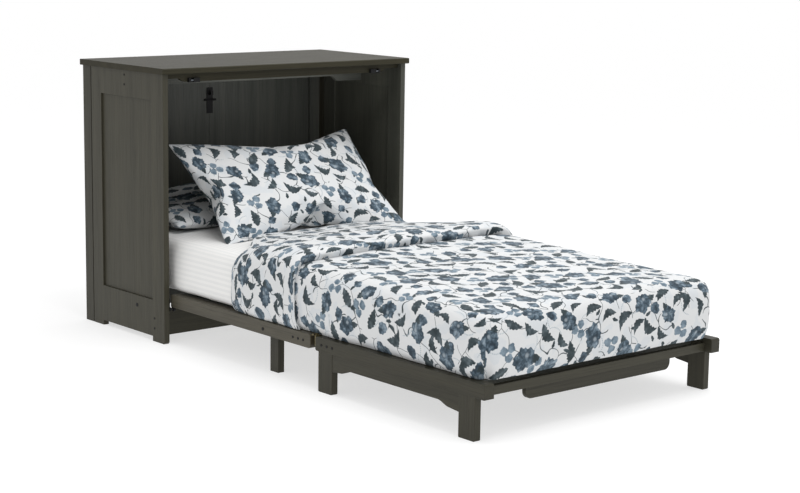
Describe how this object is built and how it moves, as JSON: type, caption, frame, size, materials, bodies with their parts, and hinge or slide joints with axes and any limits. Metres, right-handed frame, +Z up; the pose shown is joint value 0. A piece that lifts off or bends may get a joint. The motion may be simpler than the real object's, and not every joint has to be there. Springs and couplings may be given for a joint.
{
  "type": "cabinet fold-out bed",
  "caption": "Low wooden cabinet with a folding platform bed: a middle section hinged at the cabinet front carries a foot section, under a mattress, duvet and pillows.",
  "frame": {"origin": "centre of the open bed's outline on the floor", "axes": "+Z up, +Y towards the back of the cabinet, the bed opens towards -Y, +X to the right of someone facing the cabinet"},
  "size_m": [1.172, 2.272, 1.024],
  "materials": {
    "wood": "satin stained hardwood with fine grain",
    "dark_wood": "satin stained board",
    "zinc": "yellow zinc plated",
    "steel": "satin",
    "black_metal": "satin",
    "rubber": "matte",
    "mattress_sheet": "white sateen with woven stripes",
    "printed_linen": "off-white cotton printed with a blue-grey floral"
  },
  "bodies": {
    "cabinet": {"top_slab": "wood", "side_frame_left": "wood", "side_frame_right": "wood", "side_infill_left": "wood", "side_infill_right": "wood", "back_post_left": "wood", "back_post_right": "wood", "back_panel_left": "dark_wood", "back_panel_right": "dark_wood", "back_battens": "dark_wood", "header_rail": "dark_wood", "upper_stretcher": "dark_wood", "kick_board": "wood", "head_cleats": "dark_wood", "head_front_rail": "dark_wood", "head_slats": "dark_wood", "head_deck": "dark_wood", "roller_catches": "black_metal", "catch_rollers": "steel", "back_bracket": "black_metal", "side_bolts": "steel", "pivot_brackets": "black_metal", "pivot_pins": "steel", "mattress_head": "mattress_sheet", "pillow_front": "printed_linen", "pillow_rear": "printed_linen"},
    "middle_section": {"middle_rail_left": "wood", "middle_rail_right": "wood", "middle_crossbars": "dark_wood", "middle_deck": "dark_wood", "front_panel": "wood", "pivot_arms": "black_metal", "middle_hinge_leaves": "zinc", "fold_hinge_pins": "steel", "middle_bolts": "steel", "leg_pins": "steel", "mattress_middle": "mattress_sheet", "duvet_middle": "printed_linen"},
    "foot_section": {"foot_rail_left": "wood", "foot_rail_right": "wood", "foot_end_rail": "wood", "foot_crossbars": "dark_wood", "foot_deck": "dark_wood", "side_apron_left": "wood", "side_apron_right": "wood", "end_apron": "wood", "near_leg_left": "wood", "near_leg_right": "wood", "end_leg_left": "wood", "end_leg_right": "wood", "foot_hinge_leaves": "zinc", "foot_bolts": "steel", "mattress_foot": "mattress_sheet", "duvet_foot": "printed_linen"},
    "left_leg": {"swing_leg_left": "wood", "bumper_left": "rubber"},
    "right_leg": {"swing_leg_right": "wood", "bumper_right": "rubber"}
  },
  "joints": [
    {"name": "fold_middle", "type": "hinge", "parent": "cabinet", "child": "middle_section", "pos_m": [0, 0.568, 0.132], "axis": [-1, 0, 0], "range_deg": [0, 85], "deforming": ["mattress_head", "mattress_middle", "duvet_middle", "pillow_front", "pillow_rear"]},
    {"name": "fold_foot", "type": "hinge", "parent": "middle_section", "child": "foot_section", "pos_m": [0, -0.288, 0.189], "axis": [-1, 0, 0], "range_deg": [0, 180], "deforming": ["mattress_foot", "duvet_foot"]},
    {"name": "left_leg_fold", "type": "hinge", "parent": "middle_section", "child": "left_leg", "pos_m": [-0.487, -0.004, 0.158], "axis": [1, 0, 0], "range_deg": [0, 90]},
    {"name": "right_leg_fold", "type": "hinge", "parent": "middle_section", "child": "right_leg", "pos_m": [0.487, -0.004, 0.158], "axis": [1, 0, 0], "range_deg": [0, 90]}
  ]
}
